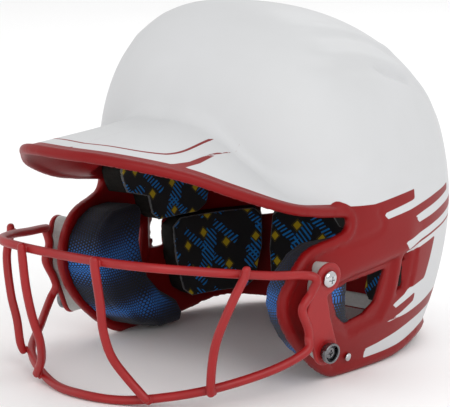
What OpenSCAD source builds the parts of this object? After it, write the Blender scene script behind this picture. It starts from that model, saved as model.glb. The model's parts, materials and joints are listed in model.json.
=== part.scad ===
// Softball batting helmet with two jaw flaps and a bolted wire face guard.
// Units are millimetres. +Z is up, the brim and the guard point to -Y and
// the wearer's left is +X. The helmet stands on both flaps and the guard.

/* [Shell] */
// Height of the crown above the table
crown_h = 218; // [214:1:222]
// Half of the greatest shell width
half_w = 102; // [100:1:104]
// Length of the shell behind the head axis
back_len = 136; // [132:1:140]
// Wall thickness of the moulded shell
wall = 3; // [2.6:0.1:3.4]
// How far the edge bead stands out of the wall
bead_out = 1.5; // [1:0.1:2]
// Width of the edge bead
bead_w = 5.5; // [4:0.5:7]

/* [Brim] */
// Reach of the brim in front of the head axis
brim_reach = 184.5; // [180:0.5:186]
// Height of the brim tip
brim_tip_z = 145; // [142:1:148]
// Thickness of the brim
brim_t = 3.2; // [2.8:0.2:4]
// Radius of the rolled brim edge
brim_edge_r = 3; // [2.5:0.1:3.2]

/* [Face guard] */
// Radius of the coated guard wire
wire_r = 2.6; // [2.4:0.1:2.8]
// Thickness of the guard's mounting plates
plate_t = 2.5; // [2:0.1:3]
// Thickness of the clear spacers at their outer rim
spacer_rim = 1.2; // [0.8:0.1:1.6]

/* [Fasteners] */
// Radius of the screw shanks
screw_r = 2.4; // [2.2:0.1:2.5]
// Running clearance round each shank in its nut
thread_gap = 0.05; // [0.03:0.01:0.08]
// Radius of the dome screw heads
head_r = 5; // [4.6:0.1:5.4]
// Radius of the chin strap snap studs
stud_r = 6.2; // [6:0.1:6.6]

/* [Liner] */
// Foam thickness of the printed liner pads
foam_t = 12; // [10:1:14]
// Foam thickness of the jaw pads
jaw_foam_t = 22; // [14:1:24]
// Thickness of the fabric faces
fabric_t = 1.4; // [1:0.1:1.8]

/* [Hidden] */
$fn = 48;

// Moves the head axis so that the whole helmet is centred on the row origin
y_shift = 30.5;
// Colours
col_shell = [0.90, 0.91, 0.92];
col_red = [0.58, 0.16, 0.17];
col_clear = [0.75, 0.76, 0.75];
col_foam = [0.16, 0.15, 0.14];
col_print = [0.07, 0.07, 0.08];
col_jaw = [0.08, 0.18, 0.38];
col_chrome = [0.82, 0.83, 0.84];
col_nickel = [0.22, 0.22, 0.23];
col_label = [0.86, 0.86, 0.84];

// Dome outline: heights of greatest width, curve exponents and low radii
side_z = 82;    side_m = 2.45;  side_low = 87;
front_r = 97;   front_z = 72;   front_m = 1.8;
back_z = 130;   back_m = 1.85;  back_low = 102;
flare_len = 162; flare_top = 130; flare_low = 66;
lean = 32;      lean_z = 90;      lean_ease = 0.014;

// Mounting plate frame: origin on the upper hole, x outwards
plate_x = 104.5; plate_y = -76.5; plate_z = 69.8;
plate_tilt = 7.4; plate_yaw = 9;
low_dy = 4;      low_dz = -45;
// Distances along the screws, measured inwards from the plate
nut_face = 15.4;  nut_h = 4;     nut_r = 5.5;   barrel_r = 3.5;  barrel_end = 11.6;
shank_end = 20.6; head_gap = 0.3;
// Gap between fitted pieces, and the extra radius of a clearance hole
slack = 0.05;     hole_gap = 0.4;  seat = 0.15;
// How far the edge bead laps over the cut edge
bead_lap = 0.4;
// Gap of the glue line behind each pad
glue = 0.6;
// Film of adhesive between a foam block and its fabric face
film = 0.5;

function clamp01(t) = min(1, max(0, t));
function smooth(a, b, x) = let (t = clamp01((x - a) / (b - a))) t * t * (3 - 2 * t);
function mix(a, b, k) = a * (1 - k) + b * k;
function unit(v) = v / norm(v);

// Radius of the dome at height z for one direction, moved inwards by d
function dome_r(r, ze, m, low, z, d) = z >= ze
    ? (r - d) * pow(max(0, 1 - pow((z - ze) / (crown_h - d - ze), m)), 1 / m)
    : (r - d) - (r - low) * pow((ze - z) / ze, 2);
function flare(z) = smooth(flare_top, flare_low, z);
function side_at(z, d) = dome_r(half_w, side_z, side_m, side_low, z, d);
function front_at(z, d) =
    mix(dome_r(front_r, front_z, front_m, front_r, z, d), flare_len - d, flare(z));
function back_at(z, d) = dome_r(back_len, back_z, back_m, back_low, z, d);
function front_n(z) = 2.2 + 0.2 * flare(z);
// The crown leans forward, easing in round the height lean_z
function centre_y(z) =
    let (t = (z - lean_z) / (crown_h - lean_z)) -lean * (t + sqrt(t * t + lean_ease)) / 2;

// Point of the dome at angle a from the front towards the wearer's left
function dome_pt(a, z, d) =
    let (s = sin(a), c = cos(a),
         w = max(0.2, side_at(z, d)),
         f = max(0.2, c >= 0 ? front_at(z, d) : back_at(z, d)),
         n = c >= 0 ? front_n(z) : 2.2,
         r = pow(pow(abs(s) / w, n) + pow(abs(c) / f, n), -1 / n))
    [r * s, centre_y(z) - r * c, z];
// Outward X of the flap surface at a given Y and Z
function flap_x(y, z, d) =
    side_at(z, d) * pow(1 - pow(abs(y) / front_at(z, d), front_n(z)), 1 / front_n(z));

// Smooth curve through a list of points, u counts the points
function curve_pt(p, u, closed = false) =
    let (n = len(p), i = closed ? floor(u) : min(n - 2, floor(u)), f = u - i,
         a = closed ? p[(i - 1 + n) % n] : p[max(0, i - 1)],
         b = p[i % n], c = p[(i + 1) % n],
         e = closed ? p[(i + 2) % n] : p[min(n - 1, i + 2)])
    0.5 * (2 * b + (c - a) * f + (2 * a - 5 * b + 4 * c - e) * f * f
           + (3 * b - a - 3 * c + e) * f * f * f);

// Skins a list of equal rings; caps the ends unless it is closed
module skin(rings, closed = false) {
    n = len(rings[0]);
    m = len(rings);
    sides = [for (i = [0 : (closed ? m - 1 : m - 2)], j = [0 : n - 1])
        let (a = i * n + j, b = i * n + (j + 1) % n, k = (i + 1) % m,
             c = k * n + j, e = k * n + (j + 1) % n)
        each [[a, c, b], [b, c, e]]];
    caps = closed ? [] : [[for (j = [0 : n - 1]) j],
                          [for (j = [n - 1 : -1 : 0]) (m - 1) * n + j]];
    polyhedron(points = [for (r = rings) each r], faces = concat(sides, caps),
               convexity = 8);
}

// Closed dome solid moved inwards by d, its foot below the table
module dome(d, steps = 56, levels = 26) {
    foot = -8;
    top = crown_h - d - foot;
    skin([for (i = [0 : levels])
        let (z = foot + top * sin(89.4 * i / levels))
        [for (j = [0 : steps - 1]) dome_pt(j * 360 / steps, z, d)]]);
}

// Side outline of the shell, as Y and Z
front_top = [[-200, 104], [-200, crown_h + 20], [180, crown_h + 20]];
low_edge = [[180, 0.4], [104, 0.4], [80, 4], [60, 7], [44, 6], [24, 2.2], [0, 0.4]];
flap_edge = [[-38, 0.4], [-48, 1.5], [-60, 8], [-73, 18], [-86, 31], [-94.5, 44],
             [-97, 56], [-93, 67], [-84, 79.5], [-74, 85.5], [-53, 89.5]];
notch_edge = [[-47, 96], [-49, 101.5], [-56, 103]];
module side_outline(inset = 0) {
    offset(delta = -inset)
        polygon(concat(front_top, low_edge, flap_edge, notch_edge));
}
module across() {
    rotate([90, 0, 90]) linear_extrude(height = 300, center = true) children();
}

// Brim: its edge line from the notch on the right to the notch on the left
brim_half = [[31.5, -brim_reach + 6.2, brim_tip_z - 1.5], [60.5, -151.5, 134.5],
             [80, -126.5, 122.8], [92, -90, 109.8], [97.5, -49, 102.5]];
brim_line = concat([for (i = [4 : -1 : 0]) [-brim_half[i][0], brim_half[i][1], brim_half[i][2]]],
                   [[0, -brim_reach, brim_tip_z]], brim_half);
root_rise = [1.5, 6, 12, 14, 9.5, 7, 9.5, 14, 12, 6, 1.5];
brim_steps = 40;
// The space under the brim is cut free down to this height
cut_floor = 93;
function brim_u(i) = 10 * i / brim_steps;
function brim_edge(u) = curve_pt(brim_line, u);
// Level direction square to the edge line, pointing away from the head
function brim_out(u) =
    let (a = brim_edge(max(0, u - 0.05)), b = brim_edge(min(10, u + 0.05)))
    unit([b[1] - a[1], a[0] - b[0], 0]);
function brim_root(u) =
    let (e = brim_edge(u), rise = lookup(u, [for (k = [0 : 10]) [k, root_rise[k]]]))
    dome_pt(atan2(e[0], -e[1]), e[2] + rise, wall / 2);
module brim() {
    h = brim_t / 2;
    skin([for (i = [0 : brim_steps])
        let (u = brim_u(i), e = brim_edge(u), r = brim_root(u), o = brim_out(u),
             s = min(brim_edge_r, norm(e - r) / 2))
        concat([r + [0, 0, h], e - o * s + [0, 0, h]],
               [for (a = [100, 50, 0, -50, -100]) e + brim_edge_r * (o * cos(a) + [0, 0, sin(a)])],
               [e - o * s - [0, 0, h], r - [0, 0, h]])]);
}
// Everything under the brim that the wall has to give up
module under_brim() {
    h = brim_t / 2 - 0.6;
    skin([for (i = [0 : brim_steps])
        let (u = brim_u(i), e = brim_edge(u), r = brim_root(u), o = brim_out(u),
             slope = min(1.2, (r[2] - e[2]) / max(1, (e - r) * o)),
             out = e + o * 20 - [0, 0, h + 4], in = r - o * 14 + [0, 0, slope * 14 - h])
        [[out[0], out[1], cut_floor], [in[0], in[1], cut_floor], in, r - [0, 0, h],
         e - o * 2 - [0, 0, h], out]]);
}

// Openings through the side walls, as Y and Z
ear_hole = [[-58, 55], [-44, 60], [-13, 65], [-17, 43], [-26, 34], [-42, 31.5], [-52, 37]];
slot_hole = [[0, 68], [14, 66.5], [11.5, 46], [0, 44.5]];
rear_slot = [[-8, -2], [6, -3], [8, 2], [-6, 3]];

// Raised edge round the flaps and the lower rim
module edge_bead() {
    difference() {
        intersection() {
            dome(-bead_out);
            across() difference() { side_outline(-bead_lap); side_outline(bead_w); }
        }
        translate([0, 0, 205.3]) cube([400, 600, 200], center = true);
        translate([0, -253, 195.1]) cube([400, 400, 200], center = true);
    }
}

module place() { translate([0, y_shift, 0]) children(); }
// Frame of one mounting plate, x pointing out of the helmet
module on_plate(s) {
    translate([s * plate_x, plate_y, plate_z]) rotate([0, s * plate_tilt, -s * plate_yaw])
        rotate([0, 0, s > 0 ? 0 : 180]) children();
}
upper = [0, 0];
lower = [low_dy, low_dz];
// Round bar along the axis of one hole, from x = a to x = b
module rod(s, hole, a, b, r) {
    on_plate(s) translate([a, s * hole[0], hole[1]]) rotate([0, 90, 0]) cylinder(r = r, h = b - a);
}

rivet_y = -36; rivet_z = 12; rivet_r = 1.5; rivet_head_r = 2.6; rivet_turn = 97;
module at_rivet(s) {
    translate([s * flap_x(rivet_y, rivet_z, 0), rivet_y, rivet_z])
        rotate([0, s * rivet_turn, 0]) children();
}

module shell() {
    color(col_shell) place() difference() {
        resize([0, 0, 0]) difference() {
            union() {
                difference() {
                    union() {
                        intersection() { dome(0); across() side_outline(); }
                        edge_bead();
                    }
                    under_brim();
                }
                brim();
            }
            dome(wall);
            across() polygon(ear_hole);
            across() polygon(slot_hole);
            for (s = [-1, 1]) translate([s * 66, 92, 61]) rotate([90, 0, -s * 36])
                linear_extrude(height = 60, center = true) polygon(rear_slot);
        }
        for (s = [-1, 1]) {
            rod(s, upper, -nut_face - 2, -2, barrel_r + slack);
            rod(s, lower, -nut_face - 2, -2, barrel_r + slack);
            at_rivet(s) translate([0, 0, -8]) cylinder(r = rivet_r + slack, h = 12);
        }
    }
}
module edge_rivets() {
    color(col_chrome) place() for (s = [-1, 1]) at_rivet(s) {
        translate([0, 0, -wall]) cylinder(r = rivet_r, h = wall + 1.5);
        translate([0, 0, 1.2]) cylinder(r = rivet_head_r, h = 1);
    }
}

// Cushion lying on the inner wall; each row is [z, first angle, last angle]
module pad(rows, s, d0, d1, steps = 9) {
    skin([for (r = rows)
        let (a0 = s > 0 ? r[1] : -r[2], a1 = s > 0 ? r[2] : -r[1])
        concat([for (i = [0 : steps]) dome_pt(mix(a0, a1, i / steps), r[0], d0)],
               [for (i = [steps : -1 : 0]) dome_pt(mix(a0, a1, i / steps), r[0], d1)])]);
}
foam_at = wall + glue;
face_at = foam_at + foam_t + film;
front_rows = [[147, -34, 34], [152, -40, 40], [166, -42, 42], [179, -42, 42], [184, -36, 36]];
temple_rows = [[67, 88, 112], [72, 84, 117], [84, 82, 119], [90, 68, 120], [106, 62, 121],
               [117, 64, 119], [121, 70, 114]];
rear_rows = [[14, 103, 133], [19, 98, 138], [40, 96.5, 141], [60, 97, 141], [65, 102, 138]];
nape_rows = [[12, 150, 168], [17, 145, 172], [38, 144, 174], [60, 145, 173], [65, 150, 168]];
jaw_rows = [[3, 67, 82], [8, 59, 86], [18, 52, 84], [27, 48, 73], [38, 45, 67], [50, 43.5, 66],
            [60, 44, 66], [70, 46.5, 68], [79, 51, 69], [84, 57, 67]];
module foam(rows, s) { color(col_foam) place() pad(rows, s, foam_at, foam_at + foam_t); }
module fabric(rows, s) { color(col_print) place() pad(rows, s, face_at, face_at + fabric_t); }

module front_pad_foam() { foam(front_rows, 1); }
module front_pad_fabric() { fabric(front_rows, 1); }
module temple_pad_left_foam() { foam(temple_rows, 1); }
module temple_pad_left_fabric() { fabric(temple_rows, 1); }
module temple_pad_right_foam() { foam(temple_rows, -1); }
module temple_pad_right_fabric() { fabric(temple_rows, -1); }
module rear_pad_left_foam() { foam(rear_rows, 1); }
module rear_pad_left_fabric() { fabric(rear_rows, 1); }
module rear_pad_right_foam() { foam(rear_rows, -1); }
module rear_pad_right_fabric() { fabric(rear_rows, -1); }
module nape_pad_left_foam() { foam(nape_rows, 1); }
module nape_pad_left_fabric() { fabric(nape_rows, 1); }
module nape_pad_right_foam() { foam(nape_rows, -1); }
module nape_pad_right_fabric() { fabric(nape_rows, -1); }

// Round cushion under the crown
crown_edge = 14;
module cap_pad(d0, d1, rings = 4, steps = 32) {
    function loop(d, k) = [for (j = [0 : steps - 1])
        dome_pt(j * 360 / steps, crown_h - d - mix(crown_edge, 0.02, sin(89 * k / rings)), d)];
    skin(concat([for (k = [rings : -1 : 0]) loop(d1, k)], [for (k = [0 : rings]) loop(d0, k)]));
}
module crown_pad_foam() { color(col_foam) place() cap_pad(foam_at, foam_at + foam_t); }
module crown_pad_fabric() { color(col_print) place() cap_pad(face_at, face_at + fabric_t); }

// Jaw pad: a foam core in a mesh cover that is open towards the wall
function shrink(rows, a, z) = let (n = len(rows) - 1)
    [for (i = [0 : n]) [rows[i][0] + (i == 0 ? z : i == n ? -z : 0), rows[i][1] + a, rows[i][2] - a]];
jaw_d = foam_at + jaw_foam_t;
module nut_pockets(s) {
    for (h = [upper, lower]) rod(s, h, -shank_end - 2, -5, nut_r + 1.5);
}
module jaw_foam(s) {
    color(col_foam) place() resize([0, 0, 0]) difference() {
        pad(shrink(jaw_rows, 1.4, 1.75), s, foam_at, jaw_d - 0.2);
        nut_pockets(s);
    }
}
module jaw_cover(s) {
    color(col_jaw) place() resize([0, 0, 0]) difference() {
        pad(jaw_rows, s, foam_at, jaw_d + fabric_t);
        pad(shrink(jaw_rows, 1.1, 1.4), s, 0, jaw_d + slack);
        nut_pockets(s);
    }
}
module jaw_pad_left_foam() { jaw_foam(1); }
module jaw_pad_right_foam() { jaw_foam(-1); }
module jaw_pad_left_cover() { jaw_cover(1); }
module jaw_pad_right_cover() { jaw_cover(-1); }

// Blank sticker inside the back, leaning with the wall
label_z = 2;
label_h = 9;
module inner_label() {
    low = dome_pt(180, label_z, wall + 0.9);
    high = dome_pt(180, label_z + label_h, wall + 0.9);
    mid = dome_pt(180, label_z + label_h / 2, wall + 0.9);
    function arc(d, from, to) = [for (i = [0 : 6])
        let (p = dome_pt(mix(from, to, i / 6), label_z + label_h / 2, d)) [p[0], p[1] - mid[1]]];
    color(col_label) place() translate([0, low[1], label_z])
        rotate([-atan((high[1] - low[1]) / label_h), 0, 0]) linear_extrude(label_h)
            polygon(concat(arc(wall + 0.5, 172, 188), arc(wall + 1.3, 188, 172)));
}

// Face guard: one closed rim and four uprights welded to its outside
rim_half = [[48.4, -181.6, 87.5], [76.9, -149.8, 82.3], [94, -115.2, 76.5], [101, -93.8, 74],
            [106, -88, 71.2], [102.7, -88.3, 62.7], [100.6, -94, 53.8], [100, -87.8, 41.8],
            [99.5, -86.2, 35.1], [100.4, -90.6, 28], [88.8, -111.1, 18.5],
            [66.7, -142.6, 10.2], [31, -163.8, 3.3]];
rim_line = concat([[0, -183.3, 86.6]], rim_half, [[0, -171.3, 3]],
                  [for (i = [len(rim_half) - 1 : -1 : 0]) [-rim_half[i][0], rim_half[i][1], rim_half[i][2]]]);
inner_bar = [[28.6, -189.2, 91], [28, -189, 85.5], [28.6, -185.6, 64.5], [27.6, -182, 46.8],
             [28, -175.5, 30.4], [34.3, -168, 16.2], [44.3, -162.7, 4]];
outer_bar = [[91.5, -134, 84.7], [91, -134.2, 79.2], [87.8, -141, 65.7], [80.6, -145.4, 44.8],
             [76.3, -145, 29.4], [74.4, -144.3, 14.7], [73.1, -141.8, 8.2]];
function loop_round(p, t, o, r, n) =
    let (u = unit(o - (o * t) * t), v = cross(t, u))
    [for (j = [0 : n - 1]) p + r * (u * cos(360 * j / n) + v * sin(360 * j / n))];
module tube(line, r, per, n = 8, closed = false) {
    m = closed ? len(line) * per : (len(line) - 1) * per;
    skin([for (i = [0 : (closed ? m - 1 : m)])
        let (u = i / per, e = 0.02, p = curve_pt(line, u, closed),
             a = curve_pt(line, closed ? u : max(0, u - e), closed),
             b = curve_pt(line, closed ? u + e : min(len(line) - 1, u + e), closed))
        loop_round(p, unit(b - a), [p[0], p[1] + 95, 0], r, n)], closed);
}
module rim_tube(r) { tube(rim_line, r, 4, 8, true); }
module bar(line, s) {
    color(col_red) place() tube([for (p = line) [s * p[0], p[1], p[2] + 0.2]], wire_r, 3);
}
module guard_rim() { color(col_red) place() rim_tube(wire_r); }
module guard_bar_left_outer() { bar(outer_bar, 1); }
module guard_bar_left_inner() { bar(inner_bar, 1); }
module guard_bar_right_inner() { bar(inner_bar, -1); }
module guard_bar_right_outer() { bar(outer_bar, -1); }

// Mounting plate outline, as backwards and up from the upper hole
module blade(grow = 0) {
    hull() { circle(9.5 + grow, $fn = 28); translate([-7, -6]) circle(6 + grow, $fn = 20); }
    hull() {
        translate([-7, -6]) circle(6 + grow, $fn = 20);
        translate([-6, -21]) circle(8.5 + grow, $fn = 24);
    }
    hull() {
        translate([-6, -21]) circle(8.5 + grow, $fn = 24);
        translate(lower) circle(8.8 + grow, $fn = 28);
    }
}
module slab(s, a, b, grow = 0) {
    on_plate(s) rotate([90, 0, 90]) translate([0, 0, a]) linear_extrude(height = b - a)
        scale([s, 1]) blade(grow);
}
module plate(s) {
    color(col_red) place() difference() {
        resize([0, 0, 0]) slab(s, 0, plate_t);
        rod(s, upper, -1, plate_t + 1, screw_r + hole_gap);
        rod(s, lower, -1, plate_t + 1, screw_r + hole_gap);
    }
}
module spacer(s) {
    color(col_clear) place() difference() {
        resize([0, 0, 0]) difference() {
            slab(s, -20, -slack, spacer_rim);
            dome(-seat);
            rim_tube(wire_r + 0.3);
            intersection() {
                dome(-bead_out - seat);
                across() difference() { side_outline(-3); side_outline(bead_w + 0.3); }
            }
        }
        rod(s, upper, -20, 1, screw_r + hole_gap);
        rod(s, lower, -20, 1, screw_r + hole_gap);
    }
}
module guard_plate_left() { plate(1); }
module guard_plate_right() { plate(-1); }
module spacer_left() { spacer(1); }
module spacer_right() { spacer(-1); }

module flap_nuts() {
    color(col_chrome) place() for (s = [-1, 1], h = [upper, lower]) difference() {
        union() {
            rod(s, h, -nut_face - nut_h, -nut_face, nut_r);
            rod(s, h, -nut_face - 1, -barrel_end, barrel_r);
        }
        rod(s, h, -nut_face - nut_h - 1, 0, screw_r + thread_gap);
    }
}

// Cross recess cut in a screw head
module cross_cut(s, hole, x, size) {
    for (turn = [0, 90]) on_plate(s) translate([x, s * hole[0], hole[1]]) rotate([turn, 0, 0])
        cube([2.4, size, 1.1], center = true);
}
module upper_screw(s) {
    top = plate_t + head_gap;
    color(col_chrome) place() difference() {
        union() {
            rod(s, upper, -shank_end, top + 0.1, screw_r);
            on_plate(s) translate([top, 0, 0]) rotate([0, 90, 0])
                cylinder(r1 = head_r, r2 = head_r * 0.93, h = 1);
            on_plate(s) translate([top + 1, 0, 0]) rotate([0, 90, 0])
                cylinder(r1 = head_r * 0.93, r2 = head_r * 0.72, h = 1);
            on_plate(s) translate([top + 2, 0, 0]) rotate([0, 90, 0])
                cylinder(r1 = head_r * 0.72, r2 = head_r * 0.4, h = 0.7);
        }
        cross_cut(s, upper, top + 2.2, 5.2);
    }
}
module upper_screw_left() { upper_screw(1); }
module upper_screw_right() { upper_screw(-1); }

stud_floor = 1.9; stud_neck = 2; stud_rim = 3.2; stud_bore = 4.8; low_head_r = 4;
module snap_stud(s) {
    x = plate_t + slack;
    color(col_nickel) place() difference() {
        union() {
            rod(s, lower, x, x + stud_neck, stud_r - 1.2);
            rod(s, lower, x + stud_neck, x + stud_neck + stud_rim, stud_r);
        }
        rod(s, lower, x + stud_floor, x + 9, stud_bore);
        rod(s, lower, x - 1, x + 9, screw_r + hole_gap);
    }
}
module snap_stud_left() { snap_stud(1); }
module snap_stud_right() { snap_stud(-1); }
module lower_screw(s) {
    top = plate_t + slack + stud_floor + head_gap;
    color(col_nickel) place() difference() {
        union() {
            rod(s, lower, -shank_end, top + 0.1, screw_r);
            rod(s, lower, top, top + 1.6, low_head_r);
        }
        cross_cut(s, lower, top + 1.9, 4.4);
    }
}
module lower_screw_left() { lower_screw(1); }
module lower_screw_right() { lower_screw(-1); }

shell();
inner_label();
edge_rivets();
front_pad_foam();
front_pad_fabric();
crown_pad_foam();
crown_pad_fabric();
temple_pad_left_foam();
temple_pad_left_fabric();
temple_pad_right_foam();
temple_pad_right_fabric();
rear_pad_left_foam();
rear_pad_left_fabric();
rear_pad_right_foam();
rear_pad_right_fabric();
nape_pad_left_foam();
nape_pad_left_fabric();
nape_pad_right_foam();
nape_pad_right_fabric();
jaw_pad_left_foam();
jaw_pad_left_cover();
jaw_pad_right_foam();
jaw_pad_right_cover();
guard_rim();
guard_bar_left_outer();
guard_bar_left_inner();
guard_bar_right_inner();
guard_bar_right_outer();
guard_plate_left();
guard_plate_right();
spacer_left();
spacer_right();
flap_nuts();
upper_screw_left();
upper_screw_right();
lower_screw_left();
lower_screw_right();
snap_stud_left();
snap_stud_right();
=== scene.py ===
"""Looks of the batting helmet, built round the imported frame.

Lengths are millimetres in the head frame (x to the wearer's left, y to the
back, z up, origin under the head axis) until to_row() turns them into metres
in the row frame.
"""
import json
import math

import bmesh
import bpy
import numpy as np
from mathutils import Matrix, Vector


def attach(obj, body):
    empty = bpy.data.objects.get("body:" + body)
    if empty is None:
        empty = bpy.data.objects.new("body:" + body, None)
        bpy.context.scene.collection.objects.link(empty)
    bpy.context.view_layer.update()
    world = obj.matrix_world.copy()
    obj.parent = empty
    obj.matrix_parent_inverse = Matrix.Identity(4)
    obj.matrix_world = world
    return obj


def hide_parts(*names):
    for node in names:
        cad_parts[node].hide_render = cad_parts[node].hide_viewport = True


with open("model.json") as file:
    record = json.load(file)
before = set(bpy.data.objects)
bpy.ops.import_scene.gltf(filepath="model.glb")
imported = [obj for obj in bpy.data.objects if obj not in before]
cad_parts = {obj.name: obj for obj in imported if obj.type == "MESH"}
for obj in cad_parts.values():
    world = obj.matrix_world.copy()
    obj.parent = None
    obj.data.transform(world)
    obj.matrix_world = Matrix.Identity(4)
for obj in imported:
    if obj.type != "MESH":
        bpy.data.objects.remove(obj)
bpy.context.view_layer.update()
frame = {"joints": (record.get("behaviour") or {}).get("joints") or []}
MM = 0.001

# Shape of the shell
CROWN = 218.0
WALL = 3.9
PLATE = np.array([104.5, -76.5, 69.8])
PLATE_TILT, PLATE_YAW = math.radians(7.4), math.radians(9.0)


def ramp(a, b, x):
    t = np.clip((x - a) / (b - a), 0, 1)
    return t * t * (3 - 2 * t)


def smax(a, b, r):
    """Larger of two distances, with an edge rounded by about r."""
    return np.maximum(a, b) + np.maximum(r - np.abs(a - b), 0) ** 2 / (4 * r)


def smin(a, b, r):
    return -smax(-a, -b, r)


def dome_r(r, widest, power, low, z, d):
    up = np.clip((z - widest) / (CROWN - d - widest), 0, 1)
    top = (r - d) * (1 - up ** power) ** (1 / power)
    return np.where(z >= widest, top, (r - d) - (r - low) * ((widest - z) / widest) ** 2)


def side_r(z, d=0.0):
    return np.maximum(dome_r(102, 82, 2.45, 87, z, d), 0.01)


def flare(z):
    return ramp(130, 66, z)


def front_r(z, d=0.0):
    k = flare(z)
    return np.maximum(dome_r(97, 72, 1.8, 97, z, d) * (1 - k) + (162 - d) * k, 0.01)


def back_r(z, d=0.0):
    return np.maximum(dome_r(136, 130, 1.85, 102, z, d), 0.01)


def centre_y(z):
    t = (z - 90) / (CROWN - 90)
    return -16 * (t + np.sqrt(t * t + 0.014))


def dome_pt(angle, z, d=0.0):
    """Points on the dome moved inwards by d; angle is in degrees from the front."""
    angle, z = np.broadcast_arrays(np.asarray(angle, float), np.asarray(z, float))
    s, c = np.sin(np.radians(angle)), np.cos(np.radians(angle))
    f = np.where(c >= 0, front_r(z, d), back_r(z, d))
    n = np.where(c >= 0, 2.2 + 0.2 * flare(z), 2.2)
    r = ((np.abs(s) / side_r(z, d)) ** n + (np.abs(c) / f) ** n) ** (-1 / n)
    return np.stack([r * s, centre_y(z) - r * c, z], -1)


def implicit(p):
    """Negative inside the dome, positive outside, zero on it."""
    x, z = np.abs(p[..., 0]), np.minimum(p[..., 2], CROWN - 0.001)
    y = p[..., 1] - centre_y(z)
    f = np.where(y <= 0, front_r(z), back_r(z))
    n = np.where(y <= 0, 2.2 + 0.2 * flare(z), 2.2)
    v = (x / side_r(z)) ** n + (np.abs(y) / f) ** n - 1
    return np.where(p[..., 2] > CROWN, 1.0, v)


CORE = np.array([0.0, -14.0, 92.0])
AZ_N, EL_N = 361, 361


def radius_table():
    """Distance from CORE to the dome for every direction, and how square the ray meets it."""
    az = np.linspace(0, math.pi, AZ_N)[:, None]
    el = np.linspace(-math.pi / 2, math.pi / 2, EL_N)[None, :]
    way = np.stack([np.sin(az) * np.cos(el), -np.cos(az) * np.cos(el), np.sin(el) + 0 * az], -1)
    near, far = np.full((AZ_N, EL_N), 5.0), np.full((AZ_N, EL_N), 330.0)
    for _ in range(42):
        mid = (near + far) / 2
        out = implicit(CORE + way * mid[..., None]) > 0
        near, far = np.where(out, near, mid), np.where(out, mid, far)
    r = (near + far) / 2
    by_az, by_el = np.gradient(r, az[1, 0], el[0, 1] - el[0, 0])
    slope = (by_az / (r * np.maximum(np.cos(el), 0.05))) ** 2 + (by_el / r) ** 2
    return r, 1 / np.sqrt(1 + slope)


RADIUS, SQUARE = radius_table()


def bilinear(table, u, v):
    i = np.clip(u.astype(int), 0, table.shape[0] - 2)
    j = np.clip(v.astype(int), 0, table.shape[1] - 2)
    a, b = np.clip(u - i, 0, 1), np.clip(v - j, 0, 1)
    return ((table[i, j] * (1 - a) + table[i + 1, j] * a) * (1 - b)
            + (table[i, j + 1] * (1 - a) + table[i + 1, j + 1] * a) * b)


def dome_distance(p):
    q = p - CORE
    r = np.linalg.norm(q, axis=-1) + 1e-6
    u = np.arctan2(np.abs(q[..., 0]), -q[..., 1]) * (AZ_N - 1) / math.pi
    v = (np.arcsin(np.clip(q[..., 2] / r, -1, 1)) / math.pi + 0.5) * (EL_N - 1)
    return (r - bilinear(RADIUS, u, v)) * bilinear(SQUARE, u, v)


def curve(points, per=12, closed=False):
    """Smooth line through the points, per steps to each span."""
    p = np.asarray(points, float)
    n = len(p)
    if closed:
        q = np.concatenate([p[-1:], p, p[:2]])
        spans = n
    else:
        q = np.concatenate([p[:1], p, p[-1:]])
        spans = n - 1
    t = np.linspace(0, 1, per, endpoint=False)[:, None]
    out = []
    for i in range(spans):
        a, b, c, d = q[i:i + 4]
        out.append(0.5 * (2 * b + (c - a) * t + (2 * a - 5 * b + 4 * c - d) * t ** 2
                          + (3 * b - a - 3 * c + d) * t ** 3))
    if not closed:
        out.append(p[-1:])
    return np.concatenate(out)


def line_distance(q, line):
    """Distance from points to a 2-D polyline, and which side they are on (left is positive)."""
    best = np.full(len(q), 1e9)
    side = np.zeros(len(q))
    for a, b in zip(line[:-1], line[1:]):
        d = b - a
        t = np.clip(((q - a) @ d) / (d @ d + 1e-12), 0, 1)
        off = q - a - t[:, None] * d
        dist = np.hypot(off[:, 0], off[:, 1])
        closer = dist < best
        best = np.where(closer, dist, best)
        side = np.where(closer, np.sign(d[0] * off[:, 1] - d[1] * off[:, 0]), side)
    return best, side


def inside(q, poly):
    hit = np.zeros(len(q), bool)
    for a, b in zip(poly, np.roll(poly, -1, axis=0)):
        cross = (a[1] > q[:, 1]) != (b[1] > q[:, 1])
        if abs(b[1] - a[1]) > 1e-12:
            hit ^= cross & (q[:, 0] < a[0] + (q[:, 1] - a[1]) * (b[0] - a[0]) / (b[1] - a[1]))
    return hit


def area_distance(q, poly):
    """Signed distance to a closed outline, negative inside."""
    d, _ = line_distance(q, np.concatenate([poly, poly[:1]]))
    return np.where(inside(q, poly), -d, d)


class Plane:
    """A 2-D distance field kept on a grid, so that it can be read at many points."""

    def __init__(self, low, high, step, rule):
        self.low, self.step = np.array(low, float), step
        u = np.arange(low[0], high[0] + step, step)
        v = np.arange(low[1], high[1] + step, step)
        q = np.stack(np.meshgrid(u, v, indexing="ij"), -1)
        self.table = rule(q.reshape(-1, 2)).reshape(q.shape[:2])

    def __call__(self, u, v):
        return bilinear(self.table, (u - self.low[0]) / self.step, (v - self.low[1]) / self.step)


# Brim: edge line from the tip to the notch on the wearer's left
BRIM_EDGE = [(0, -184.5, 145), (31.5, -178.3, 143.5), (60.5, -151.5, 134.5), (80, -126.5, 122.8),
             (92, -90, 109.8), (96, -47, 102)]
BRIM_RISE = [7, 9.5, 14, 12, 6, 1.5]
BRIM_T, BRIM_ROLL = 3.9, 3.0
PIVOT_Y, BRIM_END = -60.0, -47.0

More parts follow.
